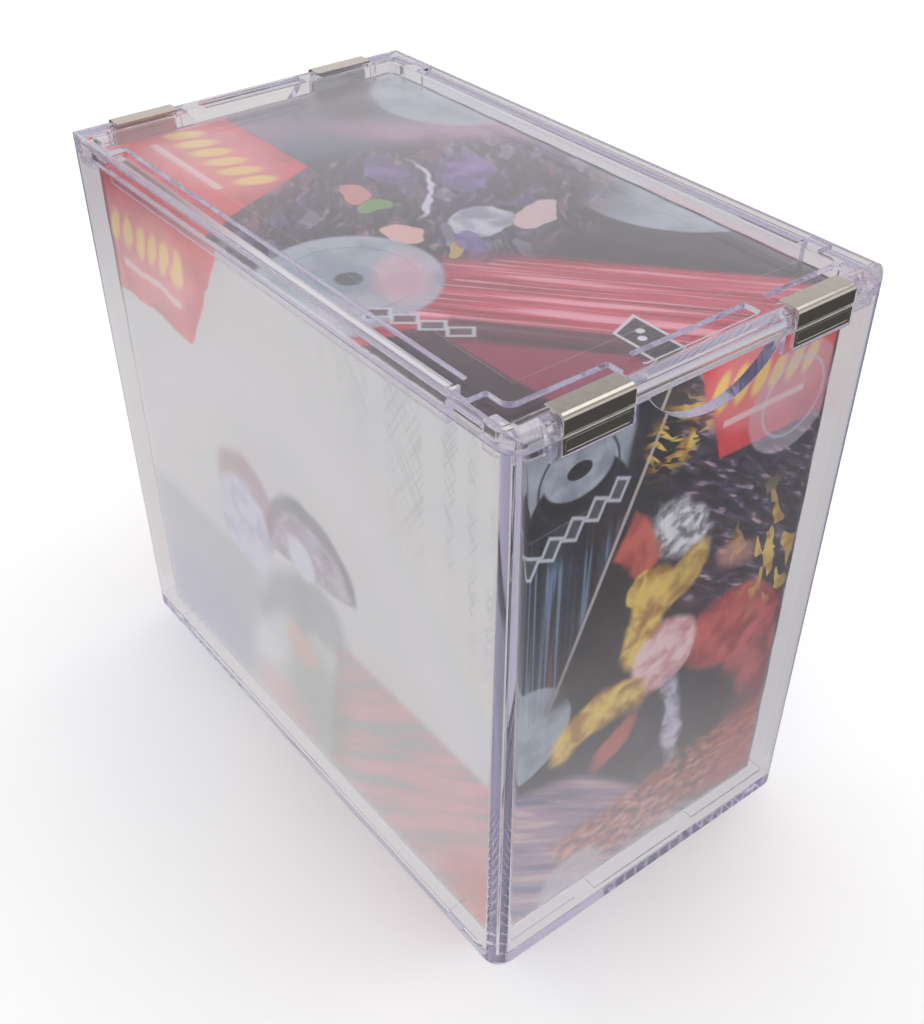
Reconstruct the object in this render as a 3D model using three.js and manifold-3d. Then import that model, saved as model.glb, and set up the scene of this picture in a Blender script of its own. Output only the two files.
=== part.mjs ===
// A clear stacking display case: a moulded tub with a lift-off lid that magnets hold shut,
// and the film-wrapped card carton that it shows.
// Millimetres. Origin: centre of the footprint, on the plane the case stands on.
// +X runs along the long sides, +Y along the short sides, +Z up.
import * as THREE from "three";
import { mergeVertices } from "three/addons/utils/BufferGeometryUtils.js";
import Module from "manifold-3d";

const wasm = await Module();
wasm.setup();

// ---- Driving dimensions ----

// Case
const LENGTH = 148.6; // outside, along X
const WIDTH = 85.2; // outside, along Y
const HEIGHT = 132.8; // feet to lid top
const WALL = 2.2; // side walls of the tub
const FLOOR = 2.4; // floor of the tub
const FOOT_HEIGHT = 0.8; // ribs under the floor, which drop into the lid of a case below
const RIB_CLEARANCE = 0.3; // ribs to the pockets of the lid below
const CORNER = 4; // outside radius of the upright corners, of the tub and the lid
const CAVITY_CORNER = 0.5; // inside radius of the tub's corners
const SEAM_GAP = 0.1; // between the tub's rim and the lid

// Lid
const LID_HEIGHT = 3.7; // rim of the lid, top to seam
const LID_PLATE = 2.2; // thickness of the panel
const END_ROUND = 3.3; // quarter-round along the two short top edges
const SIDE_ROUND = 0.8; // small round along the two long top edges
const LIP_DEPTH = 3; // locating lip, below the seam
const LIP_WALL = 1.4;
const LIP_CLEARANCE = 0.3; // lip to the inside of the tub's walls
const LIP_CORNER_RUN = 8.5; // length of a corner lip along each edge, from the outside
const LIP_TO_CLOSURE = 2; // where a corner lip stops, short of a closure
const POCKET_DEPTH = 1; // stacking pockets in the lid's top
const RIM_AT_SIDE = 1.1; // rim left outside the pockets, long sides
const RIM_AT_END = 3.75; // and short sides
const POCKET_INNER_SIDE = 5.3; // where the pockets stop, from the long sides
const POCKET_INNER_END = 7.5; // and from the short sides
const SIDE_POCKET_START = 17; // ends of the long pockets, from the short sides
const CORNER_POCKET_REACH_X = 12.6; // a corner pocket's two ends
const CORNER_POCKET_REACH_Y = 25.2;
const END_POCKET_HALF = 13.2; // half the length of the pocket in the middle of a short side
const POCKET_FILLET = 0.6;
const POCKET_BEND = 2; // radius where a corner pocket turns

// Closures: a bent steel keeper on the lid over a magnet in the tub, two pairs at each end
const CLOSURE_CENTRE = 17; // from the long sides
const CLOSURE_WIDTH = 14.6; // along Y
const KEEPER_SHEET = 0.6;
const KEEPER_TOP_LEG = 4.6;
const KEEPER_FRONT_LEG = 3.4;
const KEEPER_BEND = 1.2; // outside radius of the bend
const MAGNET_DEPTH = 1.8; // into the wall
const MAGNET_HEIGHT = 3.4;
const METAL_GAP = 0.15; // round the metal pieces in their seats
const MAGNET_BOSS_WALL = 1.1; // plastic round a magnet's pocket, on the inside of the wall

// Thumb notches in the short walls
const NOTCH_RADIUS = 18;
const NOTCH_BOTTOM_BELOW_TOP = 12; // lowest point of a notch, below the lid's top

// Carton and its shrink film
const CARTON = { length: 136, width: 76, height: 124.4 };
const BOARD = 0.6;
const FLAP_GAP = 0.3; // between layers of folded board
const TUCK_DEPTH = 14; // tuck flap, down behind the front wall
const DUST_FLAP = 20; // dust flaps, in from the short walls
const FLAP_END_GAP = 1; // between the dust flaps and the ends of the tuck flap
const FILM = 0.2;
const FILM_GAP = 0.1; // carton to film, and film to the tub's floor
const VENT_RADIUS = 1.5; // vent holes in the film
const VENT_FROM_END = 30;

const ROUND_SEGMENTS = 8; // per quarter turn
const NOTCH_SEGMENTS = 72; // per full turn
const VENT_SEGMENTS = 24;
const CURVE_HANDLE = 0.5523; // handle length of a cubic curve that follows a quarter circle
const PAST = 5; // how far a cutting tool runs past the face it cuts

// ---- Levels and places worked out from them ----

const SEAM_Z = HEIGHT - LID_HEIGHT;
const TUB_TOP_Z = SEAM_Z - SEAM_GAP;
const FLOOR_TOP_Z = FOOT_HEIGHT + FLOOR;
const CARTON_BOTTOM_Z = FLOOR_TOP_Z + FILM + 2 * FILM_GAP;
const CARTON_TOP_Z = CARTON_BOTTOM_Z + CARTON.height;
const CLOSURE_START = CLOSURE_CENTRE - CLOSURE_WIDTH / 2;
const CLOSURE_END = CLOSURE_CENTRE + CLOSURE_WIDTH / 2;

const ENDS = { left: -1, right: 1 };
const SIDES = { front: -1, back: 1 };

// A place given by how far in it is from an end face, or from a side face.
const fromEnd = (end, inset) => end * (LENGTH / 2 - inset);
const fromSide = (side, inset) => side * (WIDTH / 2 - inset);

// What build(end, side) gives at each of the four corners.
function atCorners(build) {
  return Object.values(ENDS).flatMap((end) =>
    Object.values(SIDES).map((side) => build(end, side)),
  );
}

// ---- Solids ----

function toSolid(geometry) {
  const bare = geometry.clone();
  bare.deleteAttribute("normal");
  bare.deleteAttribute("uv");
  const merged = mergeVertices(bare);
  const mesh = new wasm.Mesh({
    numProp: 3,
    vertProperties: merged.attributes.position.array,
    triVerts: new Uint32Array(merged.index.array),
  });
  return new wasm.Manifold(mesh);
}

const join = (solids) => solids.reduce((all, next) => all.add(next));
const cut = (solid, tools) => tools.reduce((left, tool) => left.subtract(tool), solid);

// A block between two values on each axis.
function block(x, y, z) {
  const size = [x, y, z].map(([a, b]) => Math.abs(b - a));
  const centre = [x, y, z].map(([a, b]) => (a + b) / 2);
  return toSolid(new THREE.BoxGeometry(...size).translate(...centre));
}

// A closed outline through corners [x, y, fillet radius].
function outline(corners) {
  const shape = new THREE.Shape();
  corners.forEach(([x, y, radius], i) => {
    const corner = new THREE.Vector2(x, y);
    const towards = ([nx, ny], distance) =>
      new THREE.Vector2(nx, ny).sub(corner).setLength(distance).add(corner);
    const previous = corners.at(i - 1);
    const next = corners[(i + 1) % corners.length];
    const start = towards(previous, radius);
    if (i === 0) shape.moveTo(start.x, start.y);
    else shape.lineTo(start.x, start.y);
    if (radius === 0) return;
    const handle = radius * (1 - CURVE_HANDLE);
    const first = towards(previous, handle);
    const second = towards(next, handle);
    const finish = towards(next, radius);
    shape.bezierCurveTo(first.x, first.y, second.x, second.y, finish.x, finish.y);
  });
  shape.closePath();
  return shape;
}

function extrude(shape, depth) {
  return new THREE.ExtrudeGeometry(shape, {
    depth,
    bevelEnabled: false,
    curveSegments: ROUND_SEGMENTS,
  });
}

// An upright prism over an outline in X and Y.
function prism(corners, z0, z1) {
  return toSolid(extrude(outline(corners), z1 - z0).translate(0, 0, z0));
}

// An outline in X and Z, run along Y.
function runAlongY(corners, y0, y1) {
  const geometry = extrude(outline(corners), y1 - y0);
  return toSolid(geometry.rotateX(Math.PI / 2).translate(0, y1, 0));
}

// An outline in Y and Z, run along X.
function runAlongX(corners, x0, x1) {
  const geometry = extrude(outline(corners), x1 - x0);
  return toSolid(geometry.rotateX(Math.PI / 2).rotateZ(Math.PI / 2).translate(x0, 0, 0));
}

// A rectangle centred on the origin, as corners for outline().
function rectangle(length, width, radius) {
  return [
    [-length / 2, -width / 2, radius],
    [length / 2, -width / 2, radius],
    [length / 2, width / 2, radius],
    [-length / 2, width / 2, radius],
  ];
}

function named(name, solid, material) {
  const { vertProperties, triVerts } = solid.getMesh();
  const geometry = new THREE.BufferGeometry();
  geometry.setAttribute("position", new THREE.BufferAttribute(vertProperties, 3));
  geometry.setIndex(new THREE.BufferAttribute(triVerts, 1));
  const flat = geometry.toNonIndexed();
  flat.computeVertexNormals();
  const mesh = new THREE.Mesh(flat, material);
  mesh.name = name;
  return mesh;
}

// ---- Materials ----

const clearPlastic = new THREE.MeshStandardMaterial({
  color: 0xe4e2ee,
  roughness: 0.05,
  metalness: 0,
  transparent: true,
  opacity: 0.35,
});
const nickelPlate = new THREE.MeshStandardMaterial({
  color: 0x9a948a,
  roughness: 0.22,
  metalness: 1,
});
const printedBoard = new THREE.MeshStandardMaterial({
  color: 0xb56a76,
  roughness: 0.45,
  metalness: 0,
});
const clearFilm = new THREE.MeshStandardMaterial({
  color: 0xf2f2f2,
  roughness: 0.12,
  metalness: 0,
  transparent: true,
  opacity: 0.2,
});

// ---- Stacking: pockets in the lid's top, and the ribs under the tub that fit them ----

// The outlines of the eight pockets, shrunk on every side by a clearance. Under the tub the
// corner ones also keep clear of the keepers of the case below.
function stackingOutlines(clearance, cornerStart) {
  const fillet = Math.max(POCKET_FILLET - clearance, 0);
  const nearSide = RIM_AT_SIDE + clearance;
  const farSide = POCKET_INNER_SIDE - clearance;
  const nearEnd = RIM_AT_END + clearance;
  const farEnd = POCKET_INNER_END - clearance;
  const reachX = CORNER_POCKET_REACH_X - clearance;
  const reachY = CORNER_POCKET_REACH_Y - clearance;
  const corners = atCorners((end, side) =>
    [
      [cornerStart, nearSide, fillet],
      [reachX, nearSide, fillet],
      [reachX, farSide, fillet],
      [farEnd, farSide, POCKET_BEND],
      [farEnd, reachY, fillet],
      [cornerStart, reachY, fillet],
    ].map(([x, y, radius]) => [fromEnd(end, x), fromSide(side, y), radius]),
  );
  const sidePocketHalf = LENGTH / 2 - SIDE_POCKET_START - clearance;
  const alongSides = Object.values(SIDES).map((side) => [
    [-sidePocketHalf, fromSide(side, nearSide), fillet],
    [sidePocketHalf, fromSide(side, nearSide), fillet],
    [sidePocketHalf, fromSide(side, farSide), fillet],
    [-sidePocketHalf, fromSide(side, farSide), fillet],
  ]);
  const half = END_POCKET_HALF - clearance;
  const alongEnds = Object.values(ENDS).map((end) => [
    [fromEnd(end, nearEnd), -half, fillet],
    [fromEnd(end, farEnd), -half, fillet],
    [fromEnd(end, farEnd), half, fillet],
    [fromEnd(end, nearEnd), half, fillet],
  ]);
  return [...corners, ...alongSides, ...alongEnds];
}

// ---- Tub ----

function magnetPocket(end, side) {
  return block(
    [fromEnd(end, -PAST), fromEnd(end, MAGNET_DEPTH + METAL_GAP)],
    [fromSide(side, CLOSURE_START - METAL_GAP), fromSide(side, CLOSURE_END + METAL_GAP)],
    [TUB_TOP_Z - MAGNET_HEIGHT - METAL_GAP, TUB_TOP_Z + PAST],
  );
}

function magnetBoss(end, side) {
  const around = METAL_GAP + MAGNET_BOSS_WALL;
  return block(
    [fromEnd(end, WALL / 2), fromEnd(end, MAGNET_DEPTH + around)],
    [fromSide(side, CLOSURE_START - around), fromSide(side, CLOSURE_END + around)],
    [TUB_TOP_Z - MAGNET_HEIGHT - around, TUB_TOP_Z],
  );
}

// One round tool, run right through, cuts both thumb notches.
function thumbNotches() {
  const centreZ = HEIGHT - NOTCH_BOTTOM_BELOW_TOP + NOTCH_RADIUS;
  const run = LENGTH + 2 * PAST;
  const tool = new THREE.CylinderGeometry(NOTCH_RADIUS, NOTCH_RADIUS, run, NOTCH_SEGMENTS);
  return toSolid(tool.rotateZ(Math.PI / 2).translate(0, 0, centreZ));
}

function buildTub() {
  const outside = prism(rectangle(LENGTH, WIDTH, CORNER), FOOT_HEIGHT, TUB_TOP_Z);
  const cavity = prism(
    rectangle(LENGTH - 2 * WALL, WIDTH - 2 * WALL, CAVITY_CORNER),
    FLOOR_TOP_Z,
    TUB_TOP_Z + PAST,
  );
  const ribStart = KEEPER_TOP_LEG + RIB_CLEARANCE;
  const ribs = stackingOutlines(RIB_CLEARANCE, ribStart).map((corners) =>
    prism(corners, 0, FOOT_HEIGHT + FLOOR / 2),
  );
  const shell = join([cut(outside, [cavity]), ...ribs, ...atCorners(magnetBoss)]);
  return cut(shell, [thumbNotches(), ...atCorners(magnetPocket)]);
}

function buildMagnet(end, side) {
  return block(
    [fromEnd(end, 0), fromEnd(end, MAGNET_DEPTH)],
    [fromSide(side, CLOSURE_START), fromSide(side, CLOSURE_END)],
    [TUB_TOP_Z - MAGNET_HEIGHT, TUB_TOP_Z],
  );
}

// ---- Lid ----

// The L section of a keeper grown outwards by a gap, down to a level: an outline in X and Z.
function keeperSection(end, gap, bottom) {
  const top = HEIGHT + gap;
  const underTop = HEIGHT - KEEPER_SHEET - gap;
  const inner = KEEPER_SHEET + gap;
  const insideBend = Math.max(KEEPER_BEND - KEEPER_SHEET, 0);
  return [
    [-gap, top, gap > 0 ? 0 : KEEPER_BEND],
    [KEEPER_TOP_LEG + gap, top, 0],
    [KEEPER_TOP_LEG + gap, underTop, 0],
    [inner, underTop, insideBend],
    [inner, bottom, 0],
    [-gap, bottom, 0],
  ].map(([x, z, radius]) => [fromEnd(end, x), z, radius]);
}

function buildKeeper(end, side) {
  const edges = [fromSide(side, CLOSURE_START), fromSide(side, CLOSURE_END)];
  const section = keeperSection(end, 0, HEIGHT - KEEPER_FRONT_LEG);
  return runAlongY(section, Math.min(...edges), Math.max(...edges));
}

// A square block of the lid that backs the keeper where the rim is rounded away.
function keeperBoss(end, side) {
  return block(
    [fromEnd(end, KEEPER_SHEET), fromEnd(end, RIM_AT_END)],
    [fromSide(side, CLOSURE_START), fromSide(side, CLOSURE_END)],
    [SEAM_Z, HEIGHT - KEEPER_SHEET],
  );
}

// The keeper's seat is open below, at the seam.
function keeperSeat(end, side) {
  const edges = [
    fromSide(side, CLOSURE_START - METAL_GAP),
    fromSide(side, CLOSURE_END + METAL_GAP),
  ];
  const section = keeperSection(end, METAL_GAP, SEAM_Z - PAST);
  return runAlongY(section, Math.min(...edges), Math.max(...edges));
}

// The panel and rim before anything is cut: the plan, with its two kinds of rounded top edge.
function lidBlank() {
  const plan = prism(rectangle(LENGTH, WIDTH, CORNER), SEAM_Z, HEIGHT);
  const endRounds = [
    [-LENGTH / 2, SEAM_Z, 0],
    [LENGTH / 2, SEAM_Z, 0],
    [LENGTH / 2, HEIGHT, END_ROUND],
    [-LENGTH / 2, HEIGHT, END_ROUND],
  ];
  const sideRounds = [
    [-WIDTH / 2, SEAM_Z, 0],
    [WIDTH / 2, SEAM_Z, 0],
    [WIDTH / 2, HEIGHT, SIDE_ROUND],
    [-WIDTH / 2, HEIGHT, SIDE_ROUND],
  ];
  return plan
    .intersect(runAlongY(endRounds, -WIDTH / 2, WIDTH / 2))
    .intersect(runAlongX(sideRounds, -LENGTH / 2, LENGTH / 2));
}

// The locating lip: a ring inside the walls, kept only at the corners and along the long sides,
// so that it clears the magnets' bosses and the thumb notches. Above the seam it grows out of
// the rim, and below the seam it keeps clear of the walls.
function locatingLip() {
  const outer = WALL + LIP_CLEARANCE;
  const inner = outer + LIP_WALL;
  const low = SEAM_Z - LIP_DEPTH;
  const high = HEIGHT - LID_PLATE + POCKET_DEPTH / 2;
  const below = prism(rectangle(LENGTH - 2 * outer, WIDTH - 2 * outer, CAVITY_CORNER), low, high);
  const above = prism(rectangle(LENGTH - WALL, WIDTH - WALL, CAVITY_CORNER), SEAM_Z, high);
  const ring = cut(join([below, above]), [
    block(
      [fromEnd(-1, inner), fromEnd(1, inner)],
      [fromSide(-1, inner), fromSide(1, inner)],
      [low - PAST, high + PAST],
    ),
  ]);
  const cornerZones = atCorners((end, side) =>
    block(
      [fromEnd(end, 0), fromEnd(end, LIP_CORNER_RUN)],
      [fromSide(side, 0), fromSide(side, CLOSURE_START - LIP_TO_CLOSURE)],
      [low, high],
    ),
  );
  const sideZones = Object.values(SIDES).map((side) =>
    block(
      [fromEnd(-1, SIDE_POCKET_START), fromEnd(1, SIDE_POCKET_START)],
      [fromSide(side, 0), fromSide(side, inner)],
      [low, high],
    ),
  );
  return ring.intersect(join([...cornerZones, ...sideZones]));
}

function buildLid() {
  const hollow = prism(
    rectangle(LENGTH - 2 * WALL, WIDTH - 2 * WALL, CAVITY_CORNER),
    SEAM_Z - PAST,
    HEIGHT - LID_PLATE,
  );
  const pockets = stackingOutlines(0, RIM_AT_END).map((corners) =>
    prism(corners, HEIGHT - POCKET_DEPTH, HEIGHT + PAST),
  );
  const panel = cut(lidBlank(), [hollow, ...pockets]);
  const body = join([panel, locatingLip(), ...atCorners(keeperBoss)]);
  return cut(body, atCorners(keeperSeat));
}

// ---- Carton and film ----

// One folded sheet of board: floor, four walls, dust flaps on the short walls, and a top panel
// that hangs on the back wall and tucks down behind the front one.
function buildCarton() {
  const { length, width } = CARTON;
  const halfLength = length / 2;
  const halfWidth = width / 2;
  const underTop = CARTON_TOP_Z - BOARD;
  const wallTop = underTop - FLAP_GAP;
  const walls = cut(
    prism(rectangle(length, width, 0), CARTON_BOTTOM_Z, wallTop),
    [prism(rectangle(length - 2 * BOARD, width - 2 * BOARD, 0), CARTON_BOTTOM_Z + BOARD, HEIGHT)],
  );
  const backCrease = block(
    [-halfLength, halfLength],
    [halfWidth - BOARD, halfWidth],
    [wallTop - BOARD, CARTON_TOP_Z],
  );
  const topPanel = block(
    [-halfLength, halfLength],
    [-halfWidth, halfWidth],
    [underTop, CARTON_TOP_Z],
  );
  const tuckFront = -halfWidth + BOARD + FLAP_GAP;
  const tuckFlap = block(
    [-halfLength + DUST_FLAP, halfLength - DUST_FLAP],
    [tuckFront, tuckFront + BOARD],
    [underTop - TUCK_DEPTH, CARTON_TOP_Z - BOARD / 2],
  );
  const dustFlaps = Object.values(ENDS).map((end) =>
    block(
      [end * halfLength, end * (halfLength - DUST_FLAP + FLAP_END_GAP)],
      [tuckFront + BOARD + FLAP_GAP, halfWidth - BOARD - FLAP_GAP],
      [wallTop - BOARD, wallTop],
    ),
  );
  return join([walls, backCrease, topPanel, tuckFlap, ...dustFlaps]);
}

function buildFilm() {
  const inner = {
    length: CARTON.length + 2 * FILM_GAP,
    width: CARTON.width + 2 * FILM_GAP,
  };
  const bottom = CARTON_BOTTOM_Z - FILM_GAP;
  const top = CARTON_TOP_Z + FILM_GAP;
  const bag = cut(
    prism(rectangle(inner.length + 2 * FILM, inner.width + 2 * FILM, 0), bottom - FILM, top + FILM),
    [prism(rectangle(inner.length, inner.width, 0), bottom, top)],
  );
  const vents = Object.values(ENDS).map((end) => {
    const tool = new THREE.CylinderGeometry(VENT_RADIUS, VENT_RADIUS, 2 * PAST, VENT_SEGMENTS);
    return toSolid(tool.translate(fromEnd(end, VENT_FROM_END), -inner.width / 2, HEIGHT / 2));
  });
  return cut(bag, vents);
}

// ---- Assembly ----

const part = new THREE.Group();
part.add(named("tub", buildTub(), clearPlastic));
part.add(named("lid", buildLid(), clearPlastic));
for (const [endName, end] of Object.entries(ENDS)) {
  for (const [sideName, side] of Object.entries(SIDES)) {
    const place = `${endName}_${sideName}`;
    part.add(named(`magnet_${place}`, buildMagnet(end, side), nickelPlate));
    part.add(named(`keeper_plate_${place}`, buildKeeper(end, side), nickelPlate));
  }
}
part.add(named("carton", buildCarton(), printedBoard));
part.add(named("shrink_film", buildFilm(), clearFilm));

export default part;
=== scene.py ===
"""A clear stacking display case round a film-wrapped printed carton, on a white floor in soft light."""
import math

import bmesh
import bpy
from mathutils import Matrix, Vector


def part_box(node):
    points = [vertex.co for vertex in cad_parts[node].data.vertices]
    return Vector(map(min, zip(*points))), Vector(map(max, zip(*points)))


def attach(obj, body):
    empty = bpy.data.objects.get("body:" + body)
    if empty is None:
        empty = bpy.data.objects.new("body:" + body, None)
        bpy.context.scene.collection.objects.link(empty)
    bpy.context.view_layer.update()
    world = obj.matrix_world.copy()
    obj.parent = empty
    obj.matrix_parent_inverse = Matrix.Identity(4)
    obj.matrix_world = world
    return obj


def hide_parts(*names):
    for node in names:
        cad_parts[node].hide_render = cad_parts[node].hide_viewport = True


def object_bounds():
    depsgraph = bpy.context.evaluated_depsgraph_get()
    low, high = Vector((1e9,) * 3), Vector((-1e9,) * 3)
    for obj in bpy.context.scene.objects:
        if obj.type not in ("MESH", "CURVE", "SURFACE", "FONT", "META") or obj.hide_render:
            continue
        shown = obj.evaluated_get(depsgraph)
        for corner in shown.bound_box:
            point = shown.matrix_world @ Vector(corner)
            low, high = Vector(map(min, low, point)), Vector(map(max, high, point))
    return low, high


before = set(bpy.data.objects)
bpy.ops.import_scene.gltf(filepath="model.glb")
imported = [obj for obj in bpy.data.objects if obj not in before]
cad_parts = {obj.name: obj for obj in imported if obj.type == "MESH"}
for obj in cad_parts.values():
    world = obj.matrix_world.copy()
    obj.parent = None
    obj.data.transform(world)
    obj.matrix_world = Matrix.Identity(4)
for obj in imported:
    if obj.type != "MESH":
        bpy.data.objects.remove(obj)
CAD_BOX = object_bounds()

MM = 0.001

# ---- Driving values ----

# Rounded edges, in mm
PLASTIC_EDGE = 0.10
METAL_EDGE = 0.12
MAGNET_EDGE = 0.25
MAGNET_BORDER = 0.7  # round the panel pressed into a magnet's ends
MAGNET_STEP = 0.3
MAGNET_SUNK = 0.11
BOARD_EDGE = 0.35
EDGE_SEGMENTS = 3
SHARP_ANGLE = 30.0  # degrees; what turns more than this is an edge

# Making one skin from the CAD's triangles
WELD = 0.001  # mm; corners closer than this are one
FLAT_ANGLE = 0.2  # degrees; faces that turn less than this are one
FACE_TOLERANCE = 0.05  # mm; how far a printed face may lie from the carton's outside
FACING = 0.99  # how squarely a face has to point along a direction, 1 being exactly

# Seam between the tub and the lid, in mm above the floor
SEAM_HEIGHT = 129.05
SEAM_RUB = (0.35, 0.15)  # how far from the seam the rubbing starts, and where it is full

# Clear plastic
PLASTIC_INDEX = 1.52  # refractive
PLASTIC_DEPTH = (0.63, 0.59, 0.86, 1.0)  # what thick plastic lets through
PLASTIC_DENSITY = 4.0  # per metre

# Film, in mm
FILM_CELL = 2.0
FILM_SKIN = 0.06
FILM_INSET = 0.02  # from the CAD film's outside
FILM_CORNER = 0.9
FILM_PUCKER = 0.10
PUCKER_REACH = 14.0  # from a corner
PUCKER_WAVES = (2.3, 1.9, 2.7)  # along X, Y and Z
FILM_TINT = (0.99, 0.99, 0.99, 1.0)
FILM_INDEX = 1.5  # refractive
PATCH_CORNER = (58.5, -29.5)  # where the overlap of the film on top ends, towards the near corner
PATCH_SEAM = 0.22  # half the width of its line

# Carton
RED_STROKES = 6  # in each label
BATCH_BARS = 14
TOP_GROUND = (22, 17, 24)
SIDE_GROUND = (208, 209, 199)
END_GROUND = (12, 11, 15)
UNDER_GROUND = (206, 208, 206)

# Camera
LENS = 45.07
SENSOR = 36.0
SHIFT = (0.0168, 0.0354)
STAND_AZIMUTH = 53.2  # where the camera stands, round the middle of the case
STAND_ELEVATION = 35.7
STAND_DISTANCE = 0.289
LOOK_AZIMUTH = 52.95  # which way it looks
LOOK_DOWN = 39.12
ROLL = -0.5

# Room
FLOOR_REACH = 4.0  # m
FLOOR_DROP = 0.02  # mm, so that the feet don't share its plane
SHEET_MIDDLE = (-0.05, -0.15, 0.0)  # m; the part of the white sheet that reflections see
SHEET_FADE = (0.17, 0.30)  # m from there, where it gives way to a painted dark reflection that stands in for a dark room
PIPED_LIGHT = (0.60, 0.58, 0.61, 1.0)  # the set colour seen along the inside of the plastic; the floor glows it as painted light

# Softboxes: name, place, aim and size in m, power in W
SOFTBOXES = (
    ("overhead_softbox", (0.05, 0.32, 0.65), (0.05, 0.0, 0.1), (0.5, 0.4), 0.75),
    ("side_softbox", (-0.50, -0.02, 0.55), (0.0, -0.04, 0.13), (0.16, 0.40), 0.5),
)

# How often a ray may turn; light led along inside a wall needs many
MAX_BOUNCES = 128
GLOSSY_BOUNCES = 96
TRANSMISSION_BOUNCES = 64
TRANSPARENT_BOUNCES = 32


# ---- Formulas: numbers in a node tree, written as sums ----

# A Mix node has a pair of inputs and an output for each kind of value: these are for colours
MIX_BELOW, MIX_ABOVE, MIX_RESULT = 6, 7, 2


def feed(tree, value, slot):
    """Puts a formula, a socket or a plain value into an input."""
    if isinstance(value, Formula):
        value = value.socket
    if isinstance(value, bpy.types.NodeSocket):
        tree.links.new(value, slot)
    else:
        slot.default_value = value


def add_node(tree, kind, *values, **settings):
    """A node with its inputs fed in order and its properties set."""
    node = tree.nodes.new(kind)
    for name, value in settings.items():
        setattr(node, name, value)
    for slot, value in zip(node.inputs, values):
        if value is not None:
            feed(tree, value, slot)
    return node


class Formula:
    """A number in a node tree. Arithmetic on formulas adds Math nodes."""

    def __init__(self, tree, socket):
        self.tree = tree
        self.socket = socket

    def math(self, operation, *others):
        node = add_node(self.tree, "ShaderNodeMath", self, *others, operation=operation)
        return Formula(self.tree, node.outputs[0])

    def __add__(self, other):
        return self.math("ADD", other)

    def __sub__(self, other):
        return self.math("SUBTRACT", other)

    def __mul__(self, other):
        return self.math("MULTIPLY", other)

    def __neg__(self):
        return self * -1.0

    def __abs__(self):
        return self.math("ABSOLUTE")

    def smaller(self, other):
        return self.math("MINIMUM", other)

    def larger(self, other):
        return self.math("MAXIMUM", other)

    def ramp(self, start, end, low=0.0, high=1.0):
        """A smooth step from low at start to high at end."""
        node = add_node(
            self.tree, "ShaderNodeMapRange", self, start, end, low, high,
            interpolation_type="SMOOTHSTEP",
        )
        return Formula(self.tree, node.outputs[0])


def rgba(colour):
    """A colour given as 0 to 255 screen values, as the linear values that nodes take."""
    def linear(value):
        share = value / 255
        return share / 12.92 if share <= 0.04045 else ((share + 0.055) / 1.055) ** 2.4
    return tuple(linear(value) for value in colour) + (1.0,)


def mix_colours(tree, below, above, share):
    """The colour below, covered by the colour above as far as share says."""
    node = tree.nodes.new("ShaderNodeMix")
    node.data_type = "RGBA"
    feed(tree, share, node.inputs["Factor"])
    feed(tree, below, node.inputs[MIX_BELOW])
    feed(tree, above, node.inputs[MIX_ABOVE])
    return node.outputs[MIX_RESULT]


def object_place(tree):
    """Each point's place, in metres, that stays with the object as it moves."""
    return tree.nodes.new("ShaderNodeTexCoord").outputs["Object"]


def noise(tree, place, scale, detail=2.0, roughness=0.5, distortion=0.0):
    """A noise from about 0 to 1. Scale is in features a metre, or a mm where place is in mm."""
    node = add_node(tree, "ShaderNodeTexNoise")
    feed(tree, place, node.inputs["Vector"])
    node.inputs["Scale"].default_value = scale
    node.inputs["Detail"].default_value = detail
    node.inputs["Roughness"].default_value = roughness
    node.inputs["Distortion"].default_value = distortion
    return Formula(tree, node.outputs[0])


def bump(tree, height, strength, distance_mm):
    node = tree.nodes.new("ShaderNodeBump")
    node.inputs["Strength"].default_value = strength
    node.inputs["Distance"].default_value = distance_mm * MM
    feed(tree, height, node.inputs["Height"])
    return node.outputs[0]


def new_material(name):
    """A material with an empty tree and its output node."""
    material = bpy.data.materials.new(name)
    material.use_nodes = True
    tree = material.node_tree
    tree.nodes.clear()
    output = tree.nodes.new("ShaderNodeOutputMaterial")
    return material, tree, output


def principled(tree, **inputs):
    node = tree.nodes.new("ShaderNodeBsdfPrincipled")
    for name, value in inputs.items():
        feed(tree, value, node.inputs[name.replace("_", " ")])
    return node


# ---- Materials of the case ----


def open_to_light(tree, shader, tint):
    """The shader as the camera meets it, but clear to shadow rays and to soft bounced light."""
    path = tree.nodes.new("ShaderNodeLightPath")
    through = Formula(tree, path.outputs["Is Shadow Ray"]).larger(path.outputs["Is Diffuse Ray"])
    clear = add_node(tree, "ShaderNodeBsdfTransparent", tint)
    mix = add_node(tree, "ShaderNodeMixShader", through, shader, clear.outputs[0])
    return mix.outputs[0]


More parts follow.
